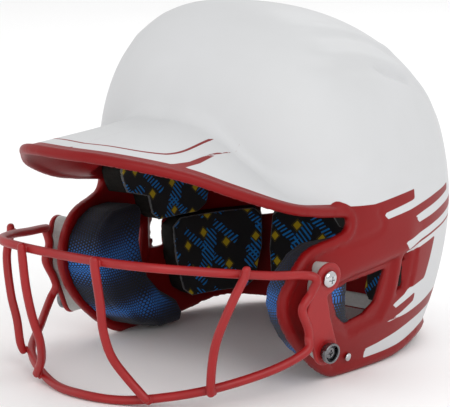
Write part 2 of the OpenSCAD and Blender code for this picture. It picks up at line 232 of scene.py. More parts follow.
brim_mirror = [(-x, y, z) for x, y, z in BRIM_EDGE[:0:-1]]
brim_full = curve(brim_mirror + BRIM_EDGE, 24)
brim_half = brim_full[len(brim_full) // 2:]
rise_at = curve([(i, r) for i, r in enumerate(BRIM_RISE[:0:-1] + BRIM_RISE)], 24)[len(brim_full) // 2:, 1]
# Where the brim leaves the dome, along the same direction from the head axis
root_half = dome_pt(np.degrees(np.arctan2(brim_half[:, 0], -brim_half[:, 1])),
                    brim_half[:, 2] + rise_at, WALL / 2)
turn_half = np.arctan2(brim_half[:, 0], -(brim_half[:, 1] - PIVOT_Y))
root_turn = np.arctan2(root_half[:, 0], -(root_half[:, 1] - PIVOT_Y))


def brim_plan(q):
    """Signed distance to the brim's outline seen from above, negative inside."""
    poly = np.concatenate([brim_full[:, :2], [[96, 60], [-96, 60]]])
    return area_distance(q, poly)


BRIM_PLAN = Plane((-130, -215), (130, 40), 1.0, brim_plan)
root_gap = np.maximum(-BRIM_PLAN(root_half[:, 0], root_half[:, 1]), 3.0)
root_rise = root_half[:, 2] - np.interp(root_turn, turn_half, brim_half[:, 2])
brim_slope = np.clip(root_rise / root_gap, 0, 0.55)


def brim_height(x, y):
    """Height of the middle of the brim, and of its edge, over a point."""
    turn = np.arctan2(np.abs(x), -(y - PIVOT_Y))
    edge_z = np.interp(turn, turn_half, brim_half[:, 2])
    slope = np.interp(turn, root_turn, brim_slope)
    return edge_z - slope * BRIM_PLAN(x, y), edge_z


# Side outline of the shell, as y and z
LOW_EDGE = [(104, 0.4), (80, 4), (60, 7), (44, 6), (24, 2.2), (0, 0.4)]
FLAP_EDGE = [(-38, 0.4), (-48, 1.5), (-60, 8), (-73, 18), (-86, 31), (-94.5, 44),
             (-97, 56), (-93, 67), (-84, 79.5), (-74, 85.5), (-58, 89)]
NOTCH = [(-50, 91.5), (-46.8, 95.5), (-47.5, 100), (-53, 103)]
free_edge = curve([(190, 0.4)] + LOW_EDGE + FLAP_EDGE + NOTCH, 10)
root_side = root_half[::-1][4:, 1:] - [0, 1.0]
side_poly = np.concatenate([free_edge, root_side, [(-230, 152), (-230, 260), (190, 260)]])
SIDE = Plane((-230, -14), (150, 232), 1.0, lambda q: area_distance(q, side_poly))
FREE = Plane((-230, -14), (150, 232), 1.0, lambda q: line_distance(q, free_edge)[0])

EAR = np.array([(-57, 56), (-44, 59.5), (-8, 62), (-14, 42), (-24, 36), (-41, 33.5), (-50, 40)], float)
EAR_DISH = np.array([(-62, 60), (-40, 64), (-15, 66.5), (0, 68.5), (-3, 44), (-9, 31), (-38, 26), (-56, 36)], float)
SLOT = np.array([(9, 68), (19.5, 68.5), (15, 46), (5.5, 46)], float)
SLOT_DISH = np.array([(6, 70.5), (24, 71.5), (19.5, 43.5), (2.5, 43)], float)
EAR_F = Plane((-110, 0), (60, 110), 1.0, lambda q: area_distance(q, EAR))
EAR_DISH_F = Plane((-110, 0), (60, 110), 1.0, lambda q: area_distance(q, EAR_DISH))
SLOT_F = Plane((-110, 0), (60, 110), 1.0, lambda q: area_distance(q, SLOT))
SLOT_DISH_F = Plane((-110, 0), (60, 110), 1.0, lambda q: area_distance(q, SLOT_DISH))
# Rear vent: width and height, place and turn
VENT, (VENT_X, VENT_Y, VENT_Z), VENT_TURN = (15, 6), (66, 92, 61), math.radians(36)
# Raised side rib: its lower edge is the ledge over the ear hole, running on to the stripes
LEDGE = curve([(-92, 60), (-62, 63.5), (-40, 68), (-15, 70), (10, 71.5), (30, 75)], 10)


def sculpt(p):
    """How far both faces of the wall are pushed out at a point, in mm."""
    x, y, z = p[..., 0], p[..., 1], p[..., 2]
    at_side = ramp(50, 70, np.abs(x))
    dish = -2.6 * ramp(1.5, -2.5, EAR_DISH_F(y, z)) - 1.4 * ramp(1.2, -1.6, SLOT_DISH_F(y, z))
    return at_side * dish


def wall_field(p):
    y, z = p[..., 1], p[..., 2]
    face = dome_distance(p) - sculpt(p)
    edge = FREE(y, z)
    bead = 1.5 * ramp(6.2, 4.4, edge) * ramp(150, 120, z)
    inner = face + WALL
    return smax(smax(face - bead, -inner, 0.6), SIDE(y, z), 1.8), face, inner


def brim_field(p, inner):
    x, y, z = p[..., 0], p[..., 1], p[..., 2]
    plan = BRIM_PLAN(x, y)
    mid, edge_z = brim_height(x, y)
    slab = smax(np.abs(z - mid) * 0.96 - BRIM_T / 2, plan, 1.0)
    roll = np.sqrt(plan ** 2 + ((z - edge_z) * 0.95) ** 2) - BRIM_ROLL
    both = smin(slab, roll, 1.2)
    both = np.maximum(both, -inner)
    return np.maximum(both, y - BRIM_END)


def shell_field(p):
    wall, face, inner = wall_field(p)
    brim = brim_field(p, inner)
    x, y, z = p[..., 0], p[..., 1], p[..., 2]
    soft = 7.0 * ramp(-50, -75, y) + 1.5
    out = smin(wall, brim, soft)
    out = smax(out, -inner, 0.8)
    at_side = np.abs(x) - 60
    out = smax(out, -smax(EAR_F(y, z), -at_side, 0.5), 1.2)
    # The slot behind the ear hole is cut slanting outwards to the back
    out = smax(out, -smax(SLOT_F(y + 1.9 * np.clip(-face, 0, 6), z), -at_side, 0.5), 0.8)
    c, s = math.cos(VENT_TURN), math.sin(VENT_TURN)
    ax, ay = np.abs(x) - VENT_X, y - VENT_Y
    across = ax * c - ay * s
    vent = smax(np.abs(across) - VENT[0] / 2, np.abs(z - VENT_Z + 0.1 * across) - VENT[1] / 2, 1.5)
    out = smax(out, -smax(vent, -(y - 60), 0.5), 1.0)
    return np.maximum(out, np.where(z < 120, 30 - np.hypot(x, y + 20), -50))


def surface_net(field, low, high, step):
    """Quad mesh of the zero level of field inside a box."""
    axes = [np.arange(a, b + step, step) for a, b in zip(low, high)]
    shape = [len(a) for a in axes]
    grid = np.stack(np.meshgrid(*axes, indexing="ij"), -1).astype(np.float64)
    value = np.concatenate([field(g[None])[0][None] for g in grid]).reshape(shape)
    sign = value < 0
    cells = np.zeros([n - 1 for n in shape], np.int8)
    corners = [(i, j, k) for i in (0, 1) for j in (0, 1) for k in (0, 1)]
    for i, j, k in corners:
        cells += sign[i:shape[0] - 1 + i, j:shape[1] - 1 + j, k:shape[2] - 1 + k]
    active = np.argwhere((cells > 0) & (cells < 8))
    index = np.full(cells.shape, -1, np.int64)
    index[tuple(active.T)] = np.arange(len(active))
    vals = np.stack([value[tuple((active + c).T)] for c in corners], 1)
    total, count = np.zeros((len(active), 3)), np.zeros(len(active))
    cor = np.array(corners, float)
    for a in range(8):
        for b in range(a + 1, 8):
            if np.abs(cor[a] - cor[b]).sum() != 1:
                continue
            va, vb = vals[:, a], vals[:, b]
            cross = (va < 0) != (vb < 0)
            t = np.where(cross, va / np.where(cross, va - vb, 1), 0)
            total += np.where(cross[:, None], cor[a] + t[:, None] * (cor[b] - cor[a]), 0)
            count += cross
    verts = np.array(low) + (active + total / count[:, None]) * step
    quads = []
    for axis in range(3):
        o1, o2 = [a for a in range(3) if a != axis]
        sl0, sl1 = [slice(None)] * 3, [slice(None)] * 3
        sl0[axis], sl1[axis] = slice(0, -1), slice(1, None)
        flip = sign[tuple(sl0)] != sign[tuple(sl1)]
        at = np.argwhere(flip)
        at = at[(at[:, o1] > 0) & (at[:, o2] > 0) & (at[:, o1] < shape[o1] - 1) & (at[:, o2] < shape[o2] - 1)]
        e1, e2 = np.zeros(3, int), np.zeros(3, int)
        e1[o1], e2[o2] = 1, 1
        quad = np.stack([index[tuple((at - e1 - e2).T)], index[tuple((at - e2).T)],
                         index[tuple(at.T)], index[tuple((at - e1).T)]], 1)
        solid_first = sign[tuple(at.T)]
        turn = solid_first if axis != 1 else ~solid_first
        quad[~turn] = quad[~turn][:, ::-1]
        quads.append(quad)
    return verts, np.concatenate(quads)


def settle(verts, field, rounds=3, reach=0.9):
    """Moves vertices on to the zero level of the field."""
    e = 0.05
    start = verts.copy()
    for _ in range(rounds):
        v = field(verts)
        g = np.stack([field(verts + d) - field(verts - d) for d in np.eye(3) * e], -1) / (2 * e)
        verts = verts - (v / np.maximum((g ** 2).sum(-1), 0.3))[:, None] * g
        off = verts - start
        far = np.linalg.norm(off, axis=1, keepdims=True)
        verts = start + off * np.minimum(1, reach / np.maximum(far, 1e-9))
    return verts

HEAD_Y = frame["joints"][0]["pos_m"][1] / MM - PLATE[1]


def to_row(p):
    return (np.asarray(p, float) + [0, HEAD_Y, 0]) * MM


def fix_normals(obj):
    bm = bmesh.new()
    bm.from_mesh(obj.data)
    bmesh.ops.recalc_face_normals(bm, faces=bm.faces)
    bm.to_mesh(obj.data)
    bm.free()


def mesh_piece(name, verts, faces, material, node=None, slot=None, body="helmet", layers=None,
               uv=None, fill=None):
    """A smooth mesh object riding on a body, from head-frame millimetres."""
    mesh = bpy.data.meshes.new(name)
    mesh.from_pydata(to_row(verts).tolist(), [], [list(map(int, f)) for f in faces])
    for key, value in (layers or {}).items():
        layer = mesh.attributes.new(key, "FLOAT", "POINT")
        layer.data.foreach_set("value", np.asarray(value, np.float32))
    if uv is not None:
        layer = mesh.attributes.new("cloth_mm", "FLOAT_VECTOR", "POINT")
        flat = np.column_stack([uv, np.zeros(len(uv))]).astype(np.float32)
        layer.data.foreach_set("vector", flat.ravel())
    mesh.polygons.foreach_set("use_smooth", [True] * len(mesh.polygons))
    mesh.materials.append(material)
    obj = bpy.data.objects.new(name, mesh)
    bpy.context.scene.collection.objects.link(obj)
    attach(obj, body)
    fix_normals(obj)
    if node:
        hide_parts(node)


# Materials
class Nodes:
    """A material's node tree, with a short call for each node."""

    def __init__(self, name):
        self.material = bpy.data.materials.new(name)
        self.material.use_nodes = True
        self.tree = self.material.node_tree
        self.shader = self.tree.nodes["Principled BSDF"]

    def plug(self, value, socket):
        if isinstance(value, bpy.types.NodeSocket):
            self.tree.links.new(value, socket)
        else:
            socket.default_value = value

    def add(self, kind, inputs=(), out=0, **props):
        n = self.tree.nodes.new("ShaderNode" + kind)
        for key, value in props.items():
            setattr(n, key, value)
        for key, value in dict(inputs).items():
            self.plug(value, n.inputs[key])
        return n.outputs[out]

    def split(self, vector):
        n = self.tree.nodes.new("ShaderNodeSeparateXYZ")
        self.tree.links.new(vector, n.inputs[0])
        return n.outputs[0], n.outputs[1]

    def math(self, op, a, b=0.0):
        return self.add("Math", {0: a, 1: b}, operation=op)

    def layer(self, name, vector=False):
        return self.add("Attribute", out=1 if vector else 2, attribute_name=name)

    def place(self):
        return self.add("TexCoord", out=3)

    def noise(self, scale, detail=2.0, rough=0.5, vector=None):
        inputs = {"Scale": scale, "Detail": detail, "Roughness": rough,
                  "Vector": vector or self.place()}
        return self.add("TexNoise", inputs)

    def span(self, value, a, b, lo=0.0, hi=1.0):
        return self.add("MapRange", {"Value": value, "From Min": a, "From Max": b,
                                     "To Min": lo, "To Max": hi})

    def mix(self, k, a, b):
        n = self.tree.nodes.new("ShaderNodeMix")
        n.data_type = "RGBA"
        for socket, value in zip((0, 6, 7), (k, a, b)):
            self.plug(value, n.inputs[socket])
        return n.outputs[2]

    def bump(self, height, strength, distance, normal=None):
        below = {"Normal": normal} if normal else {}
        return self.add("Bump", {"Height": height, "Strength": strength, "Distance": distance, **below})

    def set(self, **inputs):
        for key, value in inputs.items():
            self.plug(value, self.shader.inputs[key.replace("_", " ")])
        return self.material


RED = (0.215, 0.0028, 0.0036, 1)
RED_DEEP = (0.190, 0.0025, 0.0032, 1)
WHITE = (0.580, 0.585, 0.595, 1)
WHITE_WARM = (0.555, 0.560, 0.566, 1)


def shell_material():
    n = Nodes("shell_paint")
    edge = 0.16
    white = n.span(n.layer("white"), edge, -edge)
    outer = n.span(n.layer("outer"), -0.5, -0.2)
    pin = n.span(n.math("ABSOLUTE", n.layer("pin")), 0.95, 0.7)
    seam = n.span(n.math("ABSOLUTE", n.layer("thin")), 0.8, 0.55)
    mask = n.math("MULTIPLY", white, outer)
    lines = n.math("MULTIPLY", n.math("MAXIMUM", pin, seam), n.span(n.layer("near"), 3.0, 2.5))
    mask = n.math("MULTIPLY", mask, n.math("SUBTRACT", 1.0, lines))
    cloud = n.noise(14, 3, 0.6)
    fine = n.noise(1400, 2, 0.6)
    red = n.mix(n.span(cloud, 0.35, 0.65), RED, RED_DEEP)
    pale = n.mix(n.span(cloud, 0.3, 0.7), WHITE, WHITE_WARM)
    rough = n.math("ADD", n.span(fine, 0.3, 0.7, 0.40, 0.47), n.math("MULTIPLY", mask, 0.04))
    peel = n.bump(n.noise(420, 1, 0.4), 0.10, 0.0003)
    grain = n.bump(fine, 0.10, 0.0001, peel)
    step = n.bump(mask, 0.30, 0.0001, grain)
    return n.set(Base_Color=n.mix(mask, red, pale), Roughness=rough, Normal=step,
                 Specular_IOR_Level=0.22)


def coated_material(name, colour, deep, rough=0.36):
    n = Nodes(name)
    cloud = n.noise(60, 3, 0.6)
    fine = n.noise(1800, 2, 0.6)
    peel = n.bump(n.noise(500, 2, 0.5), 0.22, 0.0004)
    return n.set(Base_Color=n.mix(n.span(cloud, 0.35, 0.65), colour, deep),
                 Roughness=n.span(fine, 0.3, 0.7, rough, rough + 0.1),
                 Normal=n.bump(fine, 0.12, 0.0001, peel), Specular_IOR_Level=0.38)


def metal_material(name, colour, low, high, scratch=900):
    n = Nodes(name)
    cloud = n.noise(220, 3, 0.6)
    fine = n.noise(scratch, 3, 0.6)
    dark = tuple(c * 0.82 for c in colour[:3]) + (1,)
    return n.set(Base_Color=n.mix(n.span(cloud, 0.35, 0.7), colour, dark), Metallic=1.0,
                 Roughness=n.span(fine, 0.3, 0.7, low, high), Normal=n.bump(fine, 0.05, 0.0001))


def spacer_material():
    n = Nodes("clear_spacer")
    cloud = n.noise(120, 3, 0.6)
    fine = n.noise(900, 2, 0.5)
    return n.set(Base_Color=n.mix(n.span(cloud, 0.3, 0.7), (0.52, 0.53, 0.51, 1), (0.43, 0.44, 0.42, 1)),
                 Roughness=n.span(fine, 0.3, 0.7, 0.16, 0.28), Transmission_Weight=0.12, IOR=1.46,
                 Normal=n.bump(n.noise(300, 2, 0.5), 0.10, 0.0003))


def foam_material():
    n = Nodes("cut_foam")
    cell = n.add("TexVoronoi", {"Vector": n.place(), "Scale": 1500.0})
    cloud = n.noise(260, 4, 0.7)
    colour = n.mix(n.span(cloud, 0.3, 0.7), (0.011, 0.0105, 0.0095, 1), (0.024, 0.022, 0.019, 1))
    rim = n.span(n.layer("rim"), 0.55, 0.95)
    return n.set(Base_Color=n.mix(rim, colour, (0.10, 0.10, 0.095, 1)), Roughness=0.95,
                 Specular_IOR_Level=0.25, Normal=n.bump(cell, 0.5, 0.0004))


def knit(n, uv, pitch):
    """Height of a fine knit from the cloth coordinates, in mm."""
    wave = n.add("TexWave", {"Vector": uv, "Scale": 0.31 / pitch, "Distortion": 0.6, "Detail": 1.0,
                             "Detail Scale": 2.0}, out=1)
    across = n.add("Mapping", {"Vector": uv, "Rotation": (0, 0, math.radians(90))})
    other = n.add("TexWave", {"Vector": across, "Scale": 0.31 / pitch, "Distortion": 0.6, "Detail": 1.0,
                              "Detail Scale": 2.0}, out=1)
    return n.math("MULTIPLY", wave, other)


def stamp(n, uv, turn, cell, bar, shift):
    """Rows of slanted bars: 1 on the ink, 0 off it."""
    place = n.add("Mapping", {"Vector": uv, "Rotation": (0, 0, math.radians(turn)), "Location": shift})
    x, y = n.split(place)
    fy = n.math("SUBTRACT", n.math("FRACT", n.math("DIVIDE", y, cell[1])), 0.5)
    row = n.math("FLOOR", n.math("DIVIDE", y, cell[1]))
    x = n.math("ADD", x, n.math("MULTIPLY", row, cell[0] * 0.37))
    fx = n.math("SUBTRACT", n.math("FRACT", n.math("DIVIDE", x, cell[0])), 0.5)
    slant = n.math("ADD", x, n.math("MULTIPLY", fy, -cell[1] * 0.45))
    fb = n.math("FRACT", n.math("DIVIDE", slant, bar))
    wide = n.math("FRACT", n.math("MULTIPLY", n.math("FLOOR", n.math("DIVIDE", slant, bar)), 0.618))
    ink = n.math("LESS_THAN", fb, n.span(wide, 0, 1, 0.30, 0.52))
    height = n.math("LESS_THAN", n.math("ABSOLUTE", fy), n.span(wide, 0, 1, 0.11, 0.17))
    length = n.math("LESS_THAN", n.math("ABSOLUTE", fx), 0.36)
    return n.math("MULTIPLY", n.math("MULTIPLY", ink, height), length)


def print_material():
    n = Nodes("printed_knit")
    uv = n.layer("cloth_mm", vector=True)
    blue = n.math("MAXIMUM", stamp(n, uv, 38, (31, 19), 2.9, (3, 1, 0)),
                  stamp(n, uv, -68, (41, 37), 2.9, (9, 5, 0)))
    cell = n.add("TexVoronoi", {"Vector": uv, "Scale": 1 / 19.0, "Randomness": 0.55}, out=0)
    diamond = n.add("TexVoronoi", {"Vector": uv, "Scale": 1 / 19.0, "Randomness": 0.55}, out=0,
                    distance="MANHATTAN", voronoi_dimensions="2D")
    gold = n.span(diamond, 0.165, 0.155)
    ring = n.math("MULTIPLY", n.span(diamond, 0.225, 0.215), n.span(diamond, 0.195, 0.205))
    blue = n.math("MULTIPLY", blue, n.span(diamond, 0.22, 0.24))
    fibre = n.noise(2600, 2, 0.7)
    base = n.mix(n.span(fibre, 0.3, 0.7), (0.0065, 0.0065, 0.0075, 1), (0.017, 0.017, 0.019, 1))
    ink = n.mix(n.span(fibre, 0.25, 0.75), (0.008, 0.20, 0.62, 1), (0.016, 0.29, 0.78, 1))
    yellow = n.mix(n.span(fibre, 0.25, 0.75), (0.50, 0.36, 0.008, 1), (0.66, 0.48, 0.012, 1))
    colour = n.mix(blue, base, ink)
    colour = n.mix(n.math("MULTIPLY", ring, 0.30), colour, yellow)
    colour = n.mix(gold, colour, yellow)
    rim = n.span(n.layer("rim"), 0.45, 0.9)
    colour = n.mix(rim, colour, (0.16, 0.165, 0.17, 1))
    weave = knit(n, uv, 0.55)
    return n.set(Base_Color=colour, Roughness=0.88, Specular_IOR_Level=0.3, Sheen_Weight=0.10,
                 Sheen_Roughness=0.5, Normal=n.bump(weave, 0.45, 0.0003, n.bump(cell, 0.02, 0.0002)))


def dot_material():
    n = Nodes("dotted_mesh")
    uv = n.layer("cloth_mm", vector=True)
    pitch = 2.05
    dots = None
    for shift in ((0, 0, 0), (0.5, 0.5, 0)):
        place = n.add("Mapping", {"Vector": uv, "Scale": (1 / pitch, 0.5774 / pitch, 1), "Location": shift})
        x, y = n.split(place)
        fx = n.math("SUBTRACT", n.math("FRACT", x), 0.5)
        fy = n.math("MULTIPLY", n.math("SUBTRACT", n.math("FRACT", y), 0.5), 1.732)
        r = n.math("SQRT", n.math("ADD", n.math("MULTIPLY", fx, fx), n.math("MULTIPLY", fy, fy)))
        dots = r if dots is None else n.math("MINIMUM", dots, r)
    # Dot size and dark-to-light blue follow this layer: bands of bigger, lighter dots, and painted shade (dark, small
    # dots) near the pad's edges.
    dot_bands_and_shade = n.layer("dot_bands_and_shade")
    size = n.span(dot_bands_and_shade, 0.0, 1.0, 0.10, 0.36)
    ink = n.span(n.math("SUBTRACT", dots, size), 0.05, -0.03)
    fibre = n.noise(2600, 2, 0.7)
    base = n.mix(n.span(fibre, 0.3, 0.7), (0.0055, 0.0065, 0.010, 1), (0.013, 0.015, 0.022, 1))
    dark, light = (0.006, 0.028, 0.11, 1), (0.025, 0.17, 0.56, 1)
    colour = n.mix(ink, base, n.mix(n.span(dot_bands_and_shade, 0.15, 1.0), dark, light))
    hole = n.span(dots, 0.40, 0.56)
    return n.set(Base_Color=n.mix(n.math("MULTIPLY", hole, 0.6), colour, (0.003, 0.003, 0.004, 1)),
                 Roughness=0.72, Specular_IOR_Level=0.35, Sheen_Weight=0.06, Sheen_Roughness=0.45,
                 Normal=n.bump(n.math("SUBTRACT", 1.0, hole), 0.5, 0.0004))


def label_material():
    n = Nodes("blank_label")
    fine = n.noise(600, 2, 0.5)
    return n.set(Base_Color=n.mix(n.span(fine, 0.3, 0.7), (0.62, 0.63, 0.62, 1), (0.55, 0.56, 0.55, 1)),
                 Roughness=n.span(fine, 0.3, 0.7, 0.35, 0.5), Normal=n.bump(fine, 0.05, 0.0001))


PAINT = shell_material()
COAT = coated_material("red_coat", (0.31, 0.0085, 0.0100, 1), (0.27, 0.0070, 0.0085, 1))
CHROME = metal_material("bright_chrome", (0.60, 0.60, 0.61, 1), 0.08, 0.16)
NICKEL = metal_material("black_nickel", (0.20, 0.20, 0.21, 1), 0.20, 0.34)
STEEL = metal_material("zinc_steel", (0.55, 0.55, 0.55, 1), 0.30, 0.45)
SPACER = spacer_material()
FOAM = foam_material()
PRINT = print_material()
DOTS = dot_material()
LABEL = label_material()

# White paint on the sides, as angle from the front and height
STRIPES = [(0, 90), (60, 100), (66, 105.8), (72, 104.8), (79, 104), (103, 107), (102, 100.8),
           (83, 97), (84.5, 93.2), (98, 95.2), (107, 97.3), (118, 99.6), (132, 101.3), (131, 97.2),
           (118, 94.3), (108, 92), (101.2, 90), (103.4, 85.7), (112, 87.3), (124, 89.9), (136, 91.4),
           (150, 92.3), (150, 87), (136, 85.7), (127, 84.2), (116, 82), (106, 79.6), (93.2, 76.4),
           (95.8, 71), (96.3, 67), (105, 70.2), (116, 73), (111, 48), (101, 45), (90.7, 37.7),
           (93, 35), (105, 41), (105.2, 35.6), (97, 30.4), (87.7, 26.6), (102, 28.4), (112, 31),
           (122, 34), (135, 35.6), (180, 36.5), (200, 36.5), (200, 240), (0, 240)]
LOW_BAND = [(78.3, 13.2), (86, 14.7), (97, 17.9), (108, 21.8), (119, 24.6), (135, 26.2), (200, 27),
            (200, -8), (80, -8)]
THIN_LINE = [(95.6, 70.8), (105.5, 74), (117, 76.8), (128, 78.6), (140, 79.6)]
PER_DEGREE = 1.85
PIN_LINE = [(0, -165.8), (12, -164.6), (24, -161.8), (33, -156), (39.5, -148), (42.5, -141),
            (43, -128), (39, -101)]
WEDGE = [(50, -156), (51.5, -150), (53, -137), (50.5, -116), (48.4, -86), (51.5, -110),
         (56, -131), (57, -150.5), (60, -152)]


def paint_layers(p):
    x, y, z = p.T
    face = dome_distance(p)
    mid, edge_z = brim_height(x, y)
    plan = BRIM_PLAN(x, y)
    angle = np.degrees(np.arctan2(np.abs(x), -(y - centre_y(z))))
    q = np.column_stack([angle * PER_DEGREE, z])
    scale = np.array([PER_DEGREE, 1.0])
    stripes = area_distance(q, np.array(STRIPES) * scale)
    band = area_distance(q, np.array(LOW_BAND) * scale)
    edge = FREE(y, z)
    white = np.minimum(stripes, np.maximum(band, 7.0 - edge))
    white = np.maximum(white, 6.4 - edge)
    turn = np.degrees(np.arctan2(np.abs(x), -(y - PIVOT_Y)))
    width = np.interp(turn, [0, 40, 60, 75, 96], [8.6, 8.2, 6.4, 4.8, 4.9])
    on_brim = np.hypot(plan, z - edge_z)
    front = ramp(-44, -52, y)
    white = np.where(front > 0, np.maximum(white, (width - on_brim) * front - 6 * (1 - front)), white)
    top = np.column_stack([np.abs(x), y])
    wedge = area_distance(top, np.array(WEDGE, float))
    white = np.where((z > 112) & (y < -80), np.maximum(white, -wedge), white)
    outer = np.where(y < BRIM_END, np.minimum(face + WALL / 2, z - mid + 1.3), face + WALL / 2)
    pin_d, pin_side = line_distance(top, curve(PIN_LINE, 6))
    pin = np.where((z > 125) & (y < -95), np.maximum(pin_d, 0.01) * np.where(pin_side == 0, 1, pin_side), 9)
    thin_d, thin_side = line_distance(q, np.array(THIN_LINE) * scale)
    thin = np.where(face > -2.5, thin_d * np.where(thin_side == 0, 1, thin_side), 9)
    return {"white": white, "outer": outer, "pin": np.clip(pin, -9, 9), "thin": np.clip(thin, -9, 9),
            "near": np.minimum(np.abs(pin), np.abs(thin))}


# Soft swells and channels pressed into the crown, as angle and height
RIDGE = [(64, 196), (81, 191), (99, 189), (114, 184.5), (127, 177.5), (135, 170), (140, 159), (141, 145), (138, 131)]
CHANNEL = [(72, 208), (96, 205.5), (114, 203), (129, 197.5), (135, 191), (142, 185), (146, 176)]
POCKET = [(110, 182), (113, 176), (124, 168), (130.5, 164.5), (131, 170), (122, 178)]
CREASE = [(68, 128), (76, 122.5), (85, 115), (91, 111.2), (103, 111), (127, 107.5)]


def nearest(p, line):
    """Distance from points to a line in space, and how far along it the nearest place is, 0 to 1."""
    best, where = np.full(p.shape[:-1], 1e9), np.zeros(p.shape[:-1])
    for i, (a, b) in enumerate(zip(line[:-1], line[1:])):
        d = b - a
        t = np.clip(((p - a) @ d) / (d @ d), 0, 1)
        dist = np.linalg.norm(p - a - t[..., None] * d, axis=-1)
        closer = dist < best
        best, where = np.where(closer, dist, best), np.where(closer, (i + t) / (len(line) - 1), where)
    return best, where


def crown_relief(p):
    """Outward push of the outer face over the crown."""
    out = np.zeros(len(p))
    pick = (dome_distance(p) > -1.2) & (p[:, 2] > 98)
    q3 = p[pick]
    ax = np.abs(q3[:, 0])

    def along(points, width, height, fade=0.18):
        line = curve(points, 8)
        best, where = nearest(np.column_stack([ax, q3[:, 1:]]), dome_pt(line[:, 0], line[:, 1]))
        ends = ramp(0, fade, where) * ramp(1, 1 - fade, where)
        return height * ends * np.exp(-(best / width) ** 2)

    lift = along(RIDGE, 5.5, 1.5) + along(CHANNEL, 4.5, 1.2)
    lift -= along([(a, z0 - 7) for a, z0 in RIDGE], 5.0, 1.0)
    lift -= along([(a, z0 - 5.5) for a, z0 in CHANNEL], 4.0, 1.1)
    lift += along(CREASE, 4.0, 0.55) - along([(a, z0 - 4) for a, z0 in CREASE], 4.5, 0.5)
    ang = np.degrees(np.arctan2(ax, -(q3[:, 1] - centre_y(q3[:, 2]))))
    pocket = area_distance(np.column_stack([ang * 1.3, q3[:, 2]]), np.array(POCKET) * [1.3, 1.0])
    lift -= 1.5 * ramp(1.0, -2.0, pocket)
    out[pick] = lift
    return out


SWOOSH = [(-74, 80), (-62, 82.6), (-41, 84.2), (-22, 87), (-16, 91), (-20, 99)]


def side_relief(p):
    """Ledge over the ear hole, and the curved line pressed in behind the notch."""
    x, y, z = p.T
    face = dome_distance(p)
    out = np.zeros(len(p))
    pick = (face > -1.5) & (face < 3.0) & (np.abs(x) > 60) & (z < 112)
    yy, zz = y[pick], z[pick]
    q = np.column_stack([yy, zz])
    ledge, side = line_distance(q, LEDGE)
    fade = ramp(-90, -66, yy) * ramp(28, 8, yy)
    signed = ledge * side
    proud = 2.2 * ramp(-5.5, 1.8, signed) * np.exp(-(np.maximum(signed, 0) / 16) ** 2)
    swoosh, _ = line_distance(q, curve(SWOOSH, 8))
    groove = -0.7 * np.exp(-(swoosh / 1.4) ** 2) * ramp(-80, -66, yy)
    out[pick] = proud * fade + groove
    return out


def build_shell():
    verts, quads = surface_net(shell_field, (-108, -194, -4), (108, 140, 223), 2.02)
    verts = settle(verts, shell_field)
    # Only the largest connected piece is kept
    group = np.arange(len(verts))
    edges = np.concatenate([quads[:, [0, 1]], quads[:, [1, 2]], quads[:, [2, 3]], quads[:, [3, 0]]])
    while True:
        low = group.copy()
        np.minimum.at(low, edges[:, 0], group[edges[:, 1]])
        np.minimum.at(low, edges[:, 1], group[edges[:, 0]])
        low = low[low]
        if (low == group).all():
            break
        group = low
    names, counts = np.unique(group, return_counts=True)
    keep = group == names[counts.argmax()]
    number = np.cumsum(keep) - 1
    quads = number[quads[keep[quads].all(1)]]
    verts = verts[keep]
    e = 0.4
    push = crown_relief(verts) + side_relief(verts)
    normal = np.stack([dome_distance(verts + d) - dome_distance(verts - d) for d in np.eye(3) * e], -1)
    normal /= np.linalg.norm(normal, axis=1, keepdims=True)
    layers = paint_layers(verts)
    verts = verts + push[:, None] * normal
    verts[:, 2] = np.clip(verts[:, 2], 0.0, CROWN)
    mesh_piece("shell_body", verts, quads, PAINT, "shell", "shell", layers=layers)


build_shell()


# Small pieces come from the same kind of distance field as the shell
def field_mesh(field, low, high, step):
    verts, quads = surface_net(field, low, high, step)
    verts = settle(verts, field, reach=step)
    return verts, quads


def sided(s, verts, quads):
    """The same mesh for the left side, mirrored for the right."""
    return (verts, quads) if s > 0 else (verts * [-1, 1, 1], quads[:, ::-1])


SIDES = ((1, "left"), (-1, "right"))


def plate_axes():
    ct, st = math.cos(PLATE_TILT), math.sin(PLATE_TILT)
    cy, sy = math.cos(PLATE_YAW), math.sin(PLATE_YAW)
    return np.array([[cy * ct, -sy * ct, -st], [sy, cy, 0.0], [st * cy, -st * sy, ct]])


AXES = plate_axes()
UPPER, LOWER = np.array([0.0, 0.0]), np.array([4.0, -45.0])


def from_plate(p):
    return PLATE + p @ AXES


def capsule(q, a, b, ra, rb):
    """Distance to the hull of two circles."""
    a, b = np.array(a, float), np.array(b, float)
    d = b - a
    h = d @ d
    q = q - a
    u = np.abs(q[..., 0] * d[1] - q[..., 1] * d[0]) / h
    v = (q @ d) / h
    k = ra - rb
    c = math.sqrt(max(h - k * k, 1e-9))
    cross = c * v - k * u
    m = c * u + k * v
    n = u * u + v * v
    return np.where(cross < 0, np.sqrt(h * n) - ra,
                    np.where(cross > c, np.sqrt(np.maximum(h * (n + 1 - 2 * v), 0)) - rb, m - ra))


def blade(q, grow=0.0):
    links = [((0, 0), (-7, -6), 9.5, 6), ((-7, -6), (-6, -21), 6, 8.5), ((-6, -21), (4, -45), 8.5, 8.8)]
    d = [capsule(q, a, b, ra, rb) for a, b, ra, rb in links]
    return smin(smin(d[0], d[1], 2.0), d[2], 3.0) - grow


def hole(q, centre, r):
    return r - np.hypot(q[..., 0] - centre[0], q[..., 1] - centre[1])


def plate_field(p):
    x, q = p[..., 0], p[..., 1:]
    slab = smax(np.abs(x - 1.25) - 1.25, blade(q), 1.1)
    dish = np.minimum(np.hypot(q[..., 0], q[..., 1]), np.hypot(q[..., 0] - 4, q[..., 1] + 45))
    slab = smax(slab, -smax(dish - 6.6, 2.2 - x, 0.4), 0.5)
    return smax(smax(slab, hole(q, UPPER, 2.75), 0.6), hole(q, LOWER, 2.75), 0.6)


